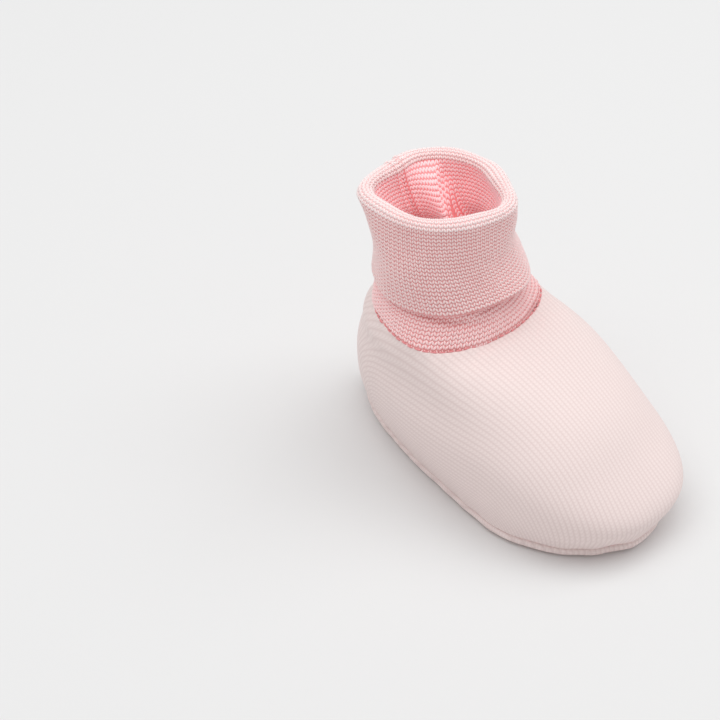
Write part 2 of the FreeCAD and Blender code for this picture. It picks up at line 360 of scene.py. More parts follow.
class Bench(Graph):
    """Builds a material's nodes by name."""

    def __init__(self, name: str) -> None:
        """Starts a material with an empty tree and a shader wired to its output."""
        self.material = bpy.data.materials.new(name)
        self.material.use_nodes = True
        super().__init__(self.material.node_tree)
        self.graph.nodes.clear()
        self.shader = self.new("ShaderNodeBsdfPrincipled")
        self.feed(self.new("ShaderNodeOutputMaterial").inputs["Surface"], self.shader.outputs[0])

    def blend(self, share: object, first: object, second: object) -> Socket:
        """A colour between two others."""
        node = self.new("ShaderNodeMix")
        node.data_type = "RGBA"
        self.feed(node.inputs["Factor"], share)
        self.feed(node.inputs["A"], first)
        self.feed(node.inputs["B"], second)
        return node.outputs["Result"]

    def noise(self, scale: float, detail: float, place: Socket) -> Socket:
        """Noise at a place, from 0 to 1."""
        node = self.new("ShaderNodeTexNoise")
        node.inputs["Scale"].default_value = scale
        node.inputs["Detail"].default_value = detail
        self.feed(node.inputs["Vector"], place)
        return node.outputs[0]

    def centred(self, value: Socket, reach: float) -> Socket:
        """A value from 0 to 1 as one of half the reach either way."""
        return self.sums("MULTIPLY", self.sums("SUBTRACT", value, 0.5), reach)

    def place(self) -> Socket:
        """The point in the object's own space, in metres."""
        return self.new("ShaderNodeTexCoord").outputs["Object"]

    def grain(self) -> tuple[Socket, Socket]:
        """The two cloth coordinates in millimetres, across and along the wales."""
        uv = self.new("ShaderNodeUVMap")
        uv.uv_map = GRAIN_MAP
        split = self.new("ShaderNodeSeparateXYZ")
        self.feed(split.inputs[0], uv.outputs["UV"])
        return split.outputs[0], split.outputs[1]

    def relief(self, height: Socket, distance: float, strength: float) -> None:
        """Bumps the shader by a height from 0 to 1 that stands a distance in metres."""
        node = self.new("ShaderNodeBump")
        node.inputs["Distance"].default_value = distance
        node.inputs["Strength"].default_value = strength
        self.feed(node.inputs["Height"], height)
        self.feed(self.shader.inputs["Normal"], node.outputs["Normal"])

    def set(self, **values: object) -> None:
        """Sets or links the shader's own sockets, with underscores for spaces."""
        for name, value in values.items():
            self.feed(self.shader.inputs[name.replace("_", " ")], value)


def colour(red: float, green: float, blue: float) -> Colour:
    """A screen colour from 0 to 255 each, as the linear colour that nodes take."""

    def linear(value: float) -> float:
        value /= 255.0
        return value / 12.92 if value <= 0.04045 else ((value + 0.055) / 1.055) ** 2.4

    return linear(red), linear(green), linear(blue), 1.0


@dataclass(frozen=True)
class JerseyFinish:
    """Fine plain-knit cotton: rows of small loops with soft grooves between the wales, the grooves painted
    darker as shade.
    """

    name: str
    bead: Colour
    pit_painted_shade: Colour
    wale: float = 1.12
    course: float = 0.9
    slant: float = 0.5
    row_share: float = 0.6
    depth: float = 0.12
    strength: float = 0.27
    sheen: float = 0.25
    wander: float = 0.2
    wander_scale: float = 420.0
    roundness: float = 2.2
    loop_painted_shade: float = 0.85
    cloud_tint: float = 0.2
    cloud_scale: float = 55.0
    fuzz_tint: float = 0.35
    fuzz_rise: float = 0.22
    fuzz_scale: float = 5200.0

    def material(self) -> Material:
        """Builds the cloth's material."""
        bench = Bench(self.name)
        sums = bench.sums
        across, along = bench.grain()
        place = bench.place()
        wander = bench.centred(bench.noise(self.wander_scale, 1.0, place), self.wander)
        column = sums("FRACT", sums("DIVIDE", sums("ADD", across, wander), self.wale))
        side = sums("ABSOLUTE", sums("SUBTRACT", column, 0.5))
        crown = sums("SUBTRACT", 1.0, sums("POWER", sums("MULTIPLY", side, 2.0), self.roundness))
        drift = sums("MULTIPLY", side, self.slant * 2.0)
        row = sums("FRACT", sums("ADD", sums("DIVIDE", along, self.course), drift))
        hump = sums("SINE", sums("MULTIPLY", row, math.pi))
        row_light = sums("ADD", sums("MULTIPLY", hump, self.row_share), 1.0 - self.row_share)
        loop = sums("MULTIPLY", crown, row_light)
        fuzz = bench.noise(self.fuzz_scale, 3.0, place)
        cloud = bench.centred(bench.noise(self.cloud_scale, 3.0, place), self.cloud_tint)
        # Painted shade: the colour follows the loop height, darker in the grooves and paler on the loop tops.
        share = sums("ADD", sums("MULTIPLY", loop, self.loop_painted_shade), cloud)
        share = sums("ADD", share, bench.centred(fuzz, self.fuzz_tint))
        share = sums("MINIMUM", sums("MAXIMUM", share, 0.0), 1.0)
        height = sums("ADD", loop, sums("MULTIPLY", fuzz, self.fuzz_rise))
        bench.relief(height, self.depth * MM, self.strength)
        bench.set(Base_Color=bench.blend(share, self.pit_painted_shade, self.bead), Roughness=0.92,
                  Sheen_Weight=self.sheen, Sheen_Roughness=0.55, Sheen_Tint=(1.0, 0.95, 0.94, 1.0),
                  Specular_IOR_Level=0.15)
        return bench.material


@dataclass(frozen=True)
class YarnFinish:
    """Spun cotton yarn: matt, faintly streaked and fuzzy, painted paler where it stands proud as shade in its
    hollows, with an optional painted emission.
    """

    name: str
    light: Colour
    dark: Colour
    sheen: float = 1.0
    gloss: float = 0.15
    # Painted light: emission strength, standing in for light that comes through thin cloth.
    painted_glow: float = 0.0
    fibre_scale: float = 2600.0
    fibre_painted_shade: float = 0.6
    fibre_depth: float = 0.05
    cloud_scale: float = 90.0
    cloud_tint: float = 0.5

    def material(self) -> Material:
        """Builds the yarn's material. Its emission is painted light: it stands in for the light that comes
        through thin cloth.
        """
        bench = Bench(self.name)
        place = bench.place()
        fibre = bench.noise(self.fibre_scale, 4.0, place)
        cloud = bench.noise(self.cloud_scale, 2.0, place)
        # Painted shade: the fibre noise that bumps the yarn also darkens its hollows; the cloud is random
        # tone.
        share = bench.sums("ADD", bench.sums("MULTIPLY", fibre, self.fibre_painted_shade),
                           bench.sums("MULTIPLY", cloud, self.cloud_tint))
        bench.relief(fibre, self.fibre_depth * MM, 0.5)
        bench.set(Base_Color=bench.blend(share, self.dark, self.light), Roughness=0.9,
                  Sheen_Weight=self.sheen, Sheen_Roughness=0.35, Sheen_Tint=(1.0, 0.93, 0.93, 1.0),
                  Specular_IOR_Level=self.gloss, Emission_Color=self.light, Emission_Strength=self.painted_glow)
        return bench.material


@dataclass(frozen=True)
class WaddingFinish:
    """White polyester wadding: tangled fibre with soft hollows, painted darker in the hollows as shade."""

    name: str = "white_wadding"
    light: Colour = colour(250, 249, 246)
    dark: Colour = colour(226, 222, 214)
    tangle_scale: float = 900.0
    depth: float = 0.5

    def material(self) -> Material:
        """Builds the wadding's material."""
        bench = Bench(self.name)
        tangle = bench.noise(self.tangle_scale, 8.0, bench.place())
        bench.relief(tangle, self.depth * MM, 0.8)
        # Painted shade: the same tangle that bumps the wadding darkens its hollows.
        bench.set(Base_Color=bench.blend(tangle, self.dark, self.light), Roughness=0.95,
                  Sheen_Weight=0.4, Sheen_Roughness=0.6, Specular_IOR_Level=0.1)
        return bench.material


@dataclass(frozen=True)
class FloorFinish:
    """Plain pale paper."""

    name: str = "pale_floor"
    grey: float = 0.755

    def material(self) -> Material:
        """Builds the floor's material."""
        bench = Bench(self.name)
        bench.set(Base_Color=(self.grey, self.grey, self.grey, 1.0), Roughness=1.0, Specular_IOR_Level=0.0)
        return bench.material


# ---- repeat trees


class Tree(Graph):
    """A geometry node tree under construction, with named inputs."""

    def __init__(self, name: str, inputs: dict[str, tuple[str, object]]) -> None:
        """Starts the tree.

        Args:
            name: The tree's name.
            inputs: Each input's name, with its socket type and value.
        """
        super().__init__(bpy.data.node_groups.new(name, "GeometryNodeTree"))
        face = self.graph.interface
        face.new_socket(name="Geometry", in_out="INPUT", socket_type="NodeSocketGeometry")
        self.values = {}
        for label, (kind, value) in inputs.items():
            socket = face.new_socket(name=label, in_out="INPUT", socket_type=kind)
            self.values[socket.identifier] = value
        face.new_socket(name="Geometry", in_out="OUTPUT", socket_type="NodeSocketGeometry")
        self.given = self.new("NodeGroupInput").outputs
        self.end = self.new("NodeGroupOutput")

    def add(self, kind: str, **links: object) -> bpy.types.Node:
        """Adds a node with its inputs fed.

        Args:
            kind: Its type.
            **links: Its inputs by name, underscores for spaces: a socket to link or a value.

        Returns:
            The new node.
        """
        node = self.new(kind)
        for label, value in links.items():
            self.feed(node.inputs[label.replace("_", " ")], value)
        return node

    def attribute(self, name: str) -> Socket:
        """A vector attribute of the input points."""
        node = self.new("GeometryNodeInputNamedAttribute")
        node.data_type = "FLOAT_VECTOR"
        node.inputs["Name"].default_value = name
        return next(s for s in node.outputs if s.enabled)

    def vector(self, **parts: object) -> Socket:
        """A vector from its parts X, Y and Z."""
        return self.add("ShaderNodeCombineXYZ", **parts).outputs[0]

    def facing(self, normal: Socket, way: Socket) -> Socket:
        """The turn that points Z along the normal and Y along the way."""
        stand = self.add("FunctionNodeAlignRotationToVector", Vector=normal)
        stand.axis = "Z"
        spin = self.add("FunctionNodeAlignRotationToVector", Vector=way, Rotation=stand.outputs[0])
        spin.axis = "Y"
        spin.pivot_axis = "Z"
        return spin.outputs[0]

    def scatter(self, points: Socket, shape: Socket, turn: Socket, scale: Socket | None) -> None:
        """Puts the shape on every point, makes it real, and ends the tree."""
        copies = self.add("GeometryNodeInstanceOnPoints", Points=points, Instance=shape, Rotation=turn)
        if scale is not None:
            self.feed(copies.inputs["Scale"], scale)
        real = self.add("GeometryNodeRealizeInstances", Geometry=copies.outputs[0])
        soft = self.add("GeometryNodeSetShadeSmooth", Geometry=real.outputs[0])
        painted = self.add("GeometryNodeSetMaterial", Geometry=soft.outputs[0],
                           Material=self.given["Material"])
        self.feed(self.end.inputs[0], painted.outputs[0])

    def grow(self, name: str, seed_mesh: bpy.types.Mesh) -> Piece:
        """Runs the tree on a mesh and keeps the plain result.

        Args:
            name: The new piece's name.
            seed_mesh: The points or path that the tree reads.

        Returns:
            The new object, with no modifier.
        """
        carrier = add_object(f"{name}.seed", seed_mesh)
        modifier = carrier.modifiers.new("repeat", "NODES")
        modifier.node_group = self.graph
        for identifier, value in self.values.items():
            modifier[identifier] = value
        bpy.context.view_layer.update()
        graph = bpy.context.evaluated_depsgraph_get()
        mesh = bpy.data.meshes.new_from_object(carrier.evaluated_get(graph), depsgraph=graph)
        mesh.name = name
        piece = add_object(name, mesh)
        carrier.modifiers.remove(modifier)
        bpy.data.objects.remove(carrier)
        return piece


@dataclass
class KnitStitches:
    """The two slanted legs of a knit stitch, repeated over a grid of places."""

    finish: Material
    leg_length: float = 1.34
    leg_width: float = 0.56
    leg_rise: float = 0.62
    spread: float = 0.33
    slant: float = 21.0
    sink: float = 0.02

    SEED = 11
    SMALLEST = (0.94, 0.95, 0.88)
    LARGEST = (1.06, 1.05, 1.12)
    STRETCH = (0.7, 1.4)

    def tree(self) -> Tree:
        """Builds the tree that makes one stitch and repeats it."""
        tree = Tree("knit_stitches", {
            "Leg Length": (NUMBER, self.leg_length * MM),
            "Leg Width": (NUMBER, self.leg_width * MM),
            "Leg Rise": (NUMBER, self.leg_rise * MM),
            "Spread": (NUMBER, self.spread * MM),
            "Slant": (NUMBER, math.radians(self.slant)),
            "Sink": (NUMBER, self.sink * MM),
            "Seed": ("NodeSocketInt", self.SEED),
            "Material": ("NodeSocketMaterial", self.finish),
        })
        given = tree.given
        ball = tree.add("GeometryNodeMeshUVSphere", Segments=6, Rings=4, Radius=0.5)
        scale = tree.vector(X=given["Leg Width"], Y=given["Leg Length"], Z=given["Leg Rise"])
        legs = tree.add("GeometryNodeJoinGeometry")
        sunk = tree.sums("MULTIPLY", given["Sink"], -1.0)
        for side in (1.0, -1.0):
            turn = tree.vector(Z=tree.sums("MULTIPLY", given["Slant"], -side))
            shift = tree.vector(X=tree.sums("MULTIPLY", given["Spread"], side), Z=sunk)
            leg = tree.add("GeometryNodeTransform", Geometry=ball.outputs["Mesh"], Scale=scale,
                           Rotation=turn, Translation=shift)
            tree.feed(legs.inputs[0], leg.outputs[0])
        turn = tree.facing(tree.attribute("normal_way"), tree.attribute("wale_way"))
        jitter = tree.add("FunctionNodeRandomValue", Seed=given["Seed"])
        jitter.data_type = "FLOAT_VECTOR"
        jitter.inputs[0].default_value = self.SMALLEST
        jitter.inputs[1].default_value = self.LARGEST
        product = tree.new("ShaderNodeVectorMath")
        product.operation = "MULTIPLY"
        tree.feed(product.inputs[0], tree.attribute("stitch_scale"))
        tree.feed(product.inputs[1], jitter.outputs[0])
        tree.scatter(given["Geometry"], legs.outputs[0], turn, product.outputs[0])
        return tree

    def grow(self, name: str, grid: Array, wale: float, course: float) -> Piece:
        """Knits over a grid.

        Args:
            name: The new piece's name.
            grid: Stitch places in millimetres, shape (courses, wales, 3).
            wale: The usual distance between wales.
            course: The usual distance between courses.

        Returns:
            The knitted piece.
        """
        normals = grid_normals(grid)
        along = np.gradient(grid, axis=0)
        around = 0.5 * (np.roll(grid, -1, axis=1) - np.roll(grid, 1, axis=1))
        scales = np.ones(grid.shape)
        scales[..., 0] = np.clip(np.linalg.norm(around, axis=-1) / wale, *self.STRETCH)
        scales[..., 1] = np.clip(np.linalg.norm(along, axis=-1) / course, *self.STRETCH)
        mesh = bpy.data.meshes.new(f"{name}.places")
        mesh.from_pydata((grid.reshape(-1, 3) * MM).tolist(), [], [])
        fields = {"normal_way": normals, "wale_way": along, "stitch_scale": scales}
        for label, values in fields.items():
            layer = mesh.attributes.new(label, "FLOAT_VECTOR", "POINT")
            layer.data.foreach_set("vector", values.astype(np.float32).ravel())
        return self.tree().grow(name, mesh)


@dataclass
class ThreadStitches:
    """Sewing stitches along a path, one slim loop after another."""

    finish: Material
    pitch: float = 2.3
    stitch: float = 2.0
    thread: float = 0.5

    def tree(self) -> Tree:
        """Builds the tree that spaces the stitches along the path."""
        tree = Tree("thread_stitches", {
            "Pitch": (NUMBER, self.pitch * MM),
            "Stitch Length": (NUMBER, self.stitch * MM),
            "Thread Width": (NUMBER, self.thread * MM),
            "Material": ("NodeSocketMaterial", self.finish),
        })
        given = tree.given
        line = tree.add("GeometryNodeMeshToCurve", Mesh=given["Geometry"])
        even = tree.new("GeometryNodeResampleCurve")
        even.mode = "LENGTH"
        tree.feed(even.inputs["Curve"], line.outputs[0])
        tree.feed(even.inputs["Length"], given["Pitch"])
        ball = tree.add("GeometryNodeMeshUVSphere", Segments=8, Rings=5, Radius=0.5)
        scale = tree.vector(X=given["Stitch Length"], Y=given["Thread Width"], Z=given["Thread Width"])
        loop = tree.add("GeometryNodeTransform", Geometry=ball.outputs["Mesh"], Scale=scale)
        turn = tree.add("FunctionNodeAlignRotationToVector",
                        Vector=tree.new("GeometryNodeInputTangent").outputs[0])
        turn.axis = "X"
        tree.scatter(even.outputs[0], loop.outputs[0], turn.outputs[0], None)
        return tree

    def grow(self, name: str, path: Array, closed: bool) -> Piece:
        """Sews along a path.

        Args:
            name: The new piece's name.
            path: The path in millimetres, shape (n, 3).
            closed: Whether it joins up.

        Returns:
            The row of stitches.
        """
        count = len(path)
        edges = [(i, (i + 1) % count) for i in range(count if closed else count - 1)]
        mesh = bpy.data.meshes.new(f"{name}.path")
        mesh.from_pydata((path * MM).tolist(), edges, [])
        return self.tree().grow(name, mesh)


# ---- the foot


def box_mm(node: str) -> tuple[Array, Array]:
    """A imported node's lowest and highest corners in millimetres."""
    low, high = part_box(node)
    return np.array(low) / MM, np.array(high) / MM


@dataclass(frozen=True)
class FootSection:
    """A horizontal section of the foot, drawn in from the foot's overall sizes.

    Each end is half of a rounded oval, and its blunt value is 2 for an ellipse and more for a
    squarer end. Widest is how far back the widest place lies. Shift moves the section towards +X,
    and arch draws its -X side in beside the instep.
    """

    height: float
    toe_back: float
    heel_back: float
    side_back: float
    widest: float
    toe_blunt: float
    heel_blunt: float
    shift: float = 0.0
    arch: float = 0.0


@dataclass
class FootForm:
    """The outside of the foot from the welt to the ankle opening."""

    welt: float
    ankle: float
    toe: float
    heel: float
    half_width: float
    lean: float = -0.6
    slant: float = -1.1
    slant_from: float = 25.0
    arch_middle: float = 4.0
    arch_spread: float = 17.0
    flank: float = 2.1
    flank_middle: float = 15.0
    flank_spread: float = 13.0
    sections: tuple[FootSection, ...] = (
        FootSection(0.0, 0.2, 1.0, 3.2, -19.5, 1.83, 1.75, 0.6, 1.8),
        FootSection(8.6, -3.0, 1.4, 2.2, -12.9, 2.5, 1.95, 0.8),
        FootSection(20.6, 9.2, 2.1, 1.9, -8.7, 2.4, 1.95, -0.3),
        FootSection(31.6, 23.4, 5.7, 4.1, 1.8, 2.15, 2.06, 0.1),
        FootSection(37.6, 36.0, 8.7, 5.1, 10.4, 2.05, 2.14, -0.5),
        FootSection(42.2, 50.2, 11.8, 6.1, 11.8, 2.0, 2.0, -0.6),
    )

    FINE = 720
    EDGE_CROWD = 0.75

    def ring(self, numbers: Array, columns: int) -> Array:
        """One section's points, from the back of the heel round by -X.

        Args:
            numbers: The section's fields in their order.
            columns: How many points.

        Returns:
            The points, shape (columns, 3).
        """
        rise, toe_back, heel_back, side_back, widest, toe_blunt, heel_blunt, shift, arch = numbers
        angle = math.pi / 2.0 + np.arange(self.FINE) * TURN / self.FINE
        across, along = np.cos(angle), np.sin(angle)
        blunt = np.where(along > 0.0, heel_blunt, toe_blunt)
        length = np.where(along > 0.0, self.heel - heel_back - widest, widest - self.toe - toe_back)
        x = (self.half_width - side_back) * np.sign(across) * np.abs(across) ** (2.0 / blunt)
        y = widest + length * np.sign(along) * np.abs(along) ** (2.0 / blunt)
        share = smooth(self.slant_from, self.ankle - self.welt, np.array(rise))
        hollow = arch * swell(y, self.arch_middle, self.arch_spread)
        flank = self.flank * share * swell(y, self.flank_middle, self.flank_spread)
        x = x + shift + self.lean * share
        x += hollow * np.clip(-across, 0.0, 1.0) - flank * np.clip(across, 0.0, 1.0)
        z = self.welt + rise + share * (math.tan(math.radians(self.slant)) * x)
        return even_ring(np.stack([x, y, z], axis=1), columns)

    def rows(self, count: int, columns: int) -> Array:
        """The skin from the welt up to the ankle, with closer rows at both edges."""
        share = np.linspace(0.0, 1.0, count)
        share = share - self.EDGE_CROWD / TURN * np.sin(TURN * share)
        table = np.array([astuple(section) for section in self.sections])
        numbers = through(table[:, 0], table, share * (self.ankle - self.welt))
        return np.stack([self.ring(row, columns) for row in numbers])


@dataclass(frozen=True)
class FootGrain:
    """The jersey's own coordinates on the foot: wales run along it and over the toe."""

    toe: float = -16.0
    heel: float = 24.0
    radius: float = 33.0
    slope: float = 36.0

    def of(self, skin: Array) -> Array:
        """Cloth coordinates over the foot.

        Args:
            skin: The foot's skin, shape (rows, columns, 3), from the centre back round.

        Returns:
            Across and along distances, shape (rows, columns + 1, 2).
        """
        x, y, z = np.moveaxis(skin, -1, 0)
        ahead = np.maximum(self.toe - y, 0.0)
        behind = np.maximum(y - self.heel, 0.0)
        across = self.radius * np.arctan2(x, np.sqrt(z * z + ahead * ahead + behind * behind) + 0.5)
        slope = math.radians(self.slope)
        along = -y * math.cos(slope) - z * math.sin(slope)
        grain = np.stack([across, along], axis=-1)
        return np.concatenate([grain, grain[:, :1]], axis=1)


def flat_grain(points: Array) -> Array:
    """Cloth coordinates of a piece cut flat: simply X and Y."""
    flat = points[..., :2]
    return np.concatenate([flat, flat[:, :1]], axis=1)


def welt_crease() -> Ripple:
    """The gathers at the sole seam, which the upper and the sole share."""
    return Ripple(3, 7.5, 0.5)


def on_plan(grid: Array, upright: float = 0.0) -> Array:
    """A grid's places with their height squeezed, so that waves over them stand upright."""
    return grid * [1.0, 1.0, upright]


@dataclass
class Upper:
    """The jersey upper: a closed ply over the toe, sides and heel, eased in at both seams."""

    form: FootForm
    cloth: float = 1.4
    lip: float = 0.75
    ankle_lip: float = 0.35
    rows: int = 96
    columns: int = 360
    pucker: float = 0.26
    pucker_reach: float = 3.2
    gather: float = 0.16
    gather_reach: float = 4.5
    sway: float = 0.5
    sway_reach: tuple[float, float] = (12.0, 10.0)

    CUT = Cut(170.0, 120.0, 0.62)

    def skin(self) -> Array:
        """The outside with its gathers and soft waves, before its edges are turned in."""
        grid = self.form.rows(self.rows, self.columns)
        normals = grid_normals(grid)
        from_welt = row_reach(grid)
        from_ankle = from_welt[-1] - from_welt
        crease = welt_crease().at(on_plan(grid, 0.12))
        fold = Ripple(7, 5.0, 0.4).at(on_plan(grid, 0.1))
        wave = Ripple(12, 42.0, 0.3).at(grid)
        welt_reach, ankle_reach = self.sway_reach
        push = self.pucker * crease * np.exp(-from_welt / self.pucker_reach)
        push += self.gather * fold * np.exp(-from_ankle / self.gather_reach)
        push += self.sway * wave * smooth(0.0, welt_reach, from_welt) * smooth(0.0, ankle_reach, from_ankle)
        return grid + normals * push[..., None]

    def build(self) -> Piece:
        """Makes the upper's piece."""
        skin = self.skin()
        normals = grid_normals(skin)
        from_welt = row_reach(skin)
        from_ankle = from_welt[-1] - from_welt
        fall = lip(from_welt, self.lip) + lip(from_ankle, self.ankle_lip)
        outer = skin - normals * fall[..., None]
        inner = skin - normals * self.cloth
        grain = FootGrain().of(self.form.rows(self.rows, self.columns))
        return ply_object("upper_jersey", outer, inner, grain)

    def dress(self, piece: Piece, finish: Material) -> None:
        settle(piece, finish, Slot.JERSEY, ("upper_outer",))
        self.CUT.lay(piece, Held.GATHERED, "sole_jersey", "cuff_knit")


@dataclass
class Lining:
    """The lining inside the upper, and the insole that it is sewn to."""

    form: FootForm
    skin: Array
    depth: float = 1.55
    cloth: float = 1.0
    insole_bottom: float = 3.4
    insole_inset: float = 1.7
    dimple: float = 0.12

    CUT = Cut(165.0, 116.0, 0.62)
    INSOLE_CUT = Cut(60.0, 102.0, 0.8)

    def build(self) -> tuple[Piece, Piece]:
        """Makes the upper lining and the insole."""
        normals = grid_normals(self.skin)
        outer = self.skin - normals * self.depth
        inner = outer - normals * self.cloth
        floor = self.insole_bottom + self.cloth
        for ply in (outer, inner):
            ply[..., 2] = np.maximum(ply[..., 2], floor)
        return ply_object("upper_lining_cloth", outer, inner, FootGrain().of(self.skin)), self.insole()

    def insole(self) -> Piece:
        """Makes the insole: a flat lining panel, softly dimpled by the foot."""
        edge = self.form.rows(3, self.skin.shape[1])[0]
        shares = np.concatenate([np.linspace(HUB, 0.95, 26), [0.975, 0.99]])
        bottom = edge * shares[:, None, None]
        bottom[..., :2] *= 1.0 - self.insole_inset / np.linalg.norm(edge[:, :2], axis=-1)[None, :, None]
        bottom[..., 2] = self.insole_bottom
        top = bottom[::-1].copy()
        top[..., 2] += self.cloth - self.dimple + self.dimple * Ripple(21, 16.0, 0.4).at(on_plan(top))
        points = np.concatenate([bottom, top])
        return surface_object("insole_cloth", points, flat_grain(points), False, poles=True)

    def dress(self, lining: Piece, insole: Piece, finish: Material) -> None:
        settle(lining, finish, Slot.LINING, ("upper_lining",))
        settle(insole, finish, Slot.LINING, ("sole_lining",))
        self.CUT.lay(lining, Held.STRETCHED, "insole_cloth", "cuff_knit")
        self.INSOLE_CUT.lay(insole, Held.LAID, "sole_wadding")


@dataclass
class Sole:
    """The sole: a jersey ply turned up round its edge, over a sheet of wadding."""

    form: FootForm
    cloth: float = 1.4
    lip: float = 0.75
    ground_back: float = 3.6
    bulge: float = 0.15
    columns: int = 360
    pucker: float = 0.22
    turn_share: float = 0.56
    wall_share: float = 0.43
    wall_bend: float = 3.2
    pad_inset: float = 1.2
    pad_rim: float = 0.1
    pad_gap: float = 0.05
    loft: float = 0.15
    fill: float = 0.3

    CUT = Cut(68.0, 111.0, 0.8)

    def outline(self) -> Array:
        """The welt line that the upper starts from."""
        return self.form.rows(3, self.columns)[0]

    def drawn_in(self, depth: Array) -> Array:
        """The outline drawn in level, one ring for each depth.

        Args:
            depth: How far in each ring lies.

        Returns:
            Rings, shape (len(depth), columns, 3), at the height of the welt.
        """
        edge = self.outline()
        around = np.roll(edge, -1, axis=0) - np.roll(edge, 1, axis=0)
        out = np.cross(around, [0.0, 0.0, 1.0])
        out /= np.linalg.norm(out, axis=-1, keepdims=True)
        return edge[None] - out[None] * depth[:, None, None]

    def build(self) -> tuple[Piece, Piece]:
        """Makes the sole's ply and its wadding."""
        welt = self.form.welt
        turn = np.linspace(0.0, math.pi / 2.0, 9)
        heel = self.drawn_in(np.array([self.ground_back]))[0]
        flat = heel[None] * np.linspace(HUB, 0.97, 30)[:, None, None]
        flat[..., 2] = 0.0
        depths = self.ground_back - (self.ground_back + self.bulge) * np.sin(turn)
        low_wall = self.drawn_in(depths)
        low_wall[..., 2] = (welt * self.turn_share * (1.0 - np.cos(turn)))[:, None]
        rise = np.linspace(0.0, 1.0, 9)[1:]
        high_wall = self.drawn_in(-self.bulge * (1.0 - rise) + self.lip * rise**self.wall_bend)
        high_wall[..., 2] = (welt * (self.turn_share + self.wall_share * rise))[:, None]
        inner_wall = self.drawn_in(np.array([self.lip + 0.3, self.cloth + 0.5, self.cloth + 1.0]))
        inner_wall[..., 2] = np.array([welt - 0.05, welt - 0.5, self.cloth + 0.2])[:, None]
        inside = heel[None] * np.linspace(0.95, HUB, 24)[:, None, None]
        inside[..., 2] = self.cloth
        for wall, reach in ((low_wall, np.sin(turn)), (high_wall, 1.0 - 0.4 * rise)):
            normals = wall[..., :2] / np.linalg.norm(wall[..., :2], axis=-1, keepdims=True)
            push = self.pucker * welt_crease().at(on_plan(wall)) * reach[:, None]
            wall[..., :2] += normals * push[..., None]
        points = np.concatenate([flat, low_wall, high_wall, inner_wall, inside])
        sole = surface_object("sole_jersey", points, flat_grain(points), False, poles=True)
        return sole, self.wadding()

    def wadding(self) -> Piece:
        """Makes the wadding: a thin pad with crowned faces and soft rounded edges."""
        edge = self.drawn_in(np.array([self.cloth + self.pad_inset]))[0]
        level = 1.0 - self.pad_rim
        bend = np.sin(np.linspace(0.1, 1.57, 8))
        shares = np.concatenate([np.linspace(HUB, level, 22), level + self.pad_rim * bend])
        low, high = box_mm("sole_padding")
        middle = (low[2] + high[2]) / 2.0
        half = (high[2] - low[2]) / 2.0 - self.pad_gap
        crown = np.sqrt(np.maximum(1.0 - ((shares - level) / self.pad_rim).clip(0.0) ** 2, 0.0)) * half
        bottom = edge[None] * shares[:, None, None]
        top = bottom.copy()
        hollow = self.loft * (0.5 + 0.5 * Ripple(31, 9.0, 0.5).at(on_plan(top)))
        bottom[..., 2] = (middle - crown)[:, None]
        top[..., 2] = (middle + crown)[:, None] - hollow * (crown / half)[:, None]
        points = np.concatenate([bottom, top[::-1][1:]])
        return surface_object("sole_wadding", points, flat_grain(points), False, poles=True)

    def dress(self, sole: Piece, pad: Piece, jersey: Material,
              wadding: Material) -> None:
        settle(sole, jersey, Slot.JERSEY, ("sole_outer",))
        settle(pad, wadding, Slot.WADDING, ("sole_padding",))
        self.CUT.lay(sole, Held.GATHERED, "upper_jersey")


# ---- the cuff


def around_from_back(shares: Array) -> Array:
    """The angle round the cuff at each share of a turn from the centre-back seam."""
    return math.pi / 2.0 + TURN * shares


def near_seam(shares: Array) -> Array:
    """1 at the centre-back seam, easing to 0 at the front."""
    return (0.5 + 0.5 * np.cos(TURN * shares)) ** 2


@dataclass(frozen=True)
class Corner:
    """A place on a ring that stands out, or in: its angle, how far, and how wide, in degrees."""

    angle: float
    out: float
    wide: float
    wide_after: float | None = None

    def at(self, angle: Array) -> Array:
        """How far the ring is pushed out at each angle."""
        gap = np.degrees(turn_gap(angle, math.radians(self.angle)))
        wide = np.where(gap > 0.0, self.wide_after or self.wide, self.wide)
        return self.out * np.exp(-0.5 * (gap / wide) ** 2)


@dataclass(frozen=True)
class Ring:
    """A slanted oval ring of the cuff: its rise above the ankle, half sizes, lean and corners."""

    rise: float
    half_x: float
    half_y: float
    lean_x: float = 0.0
    lean_y: float = 0.0
    tilt_x: float = 0.0
    tilt_y: float = 0.0
    twist: float = 0.0
    corners: tuple[Corner, ...] = ()
    lifts: tuple[Corner, ...] = ()

    def points(self, middle: Array, shares: Array, inset: Array | float = 0.0) -> Array:
        """The ring's points.

        Args:
            middle: The middle of the ankle opening.
            shares: Places round the ring from the centre-back seam, from 0 to 1.
            inset: How far inside the ring the points lie.

        Returns:
            The points, shape (len(shares), 3).
        """
        angle = around_from_back(shares) + math.radians(self.twist) * near_seam(shares)
        radius = 1.0 / np.sqrt((np.cos(angle) / self.half_x) ** 2 + (np.sin(angle) / self.half_y) ** 2)
        radius = radius + sum(corner.at(angle) for corner in self.corners) - inset
        x = radius * np.cos(angle)
        y = radius * np.sin(angle)
        z = math.tan(math.radians(self.tilt_x)) * x + math.tan(math.radians(self.tilt_y)) * y
        z = z + sum(lift.at(angle) for lift in self.lifts)
        return np.stack([middle[0] + self.lean_x + x, middle[1] + self.lean_y + y,
                         middle[2] + self.rise + z], axis=1)


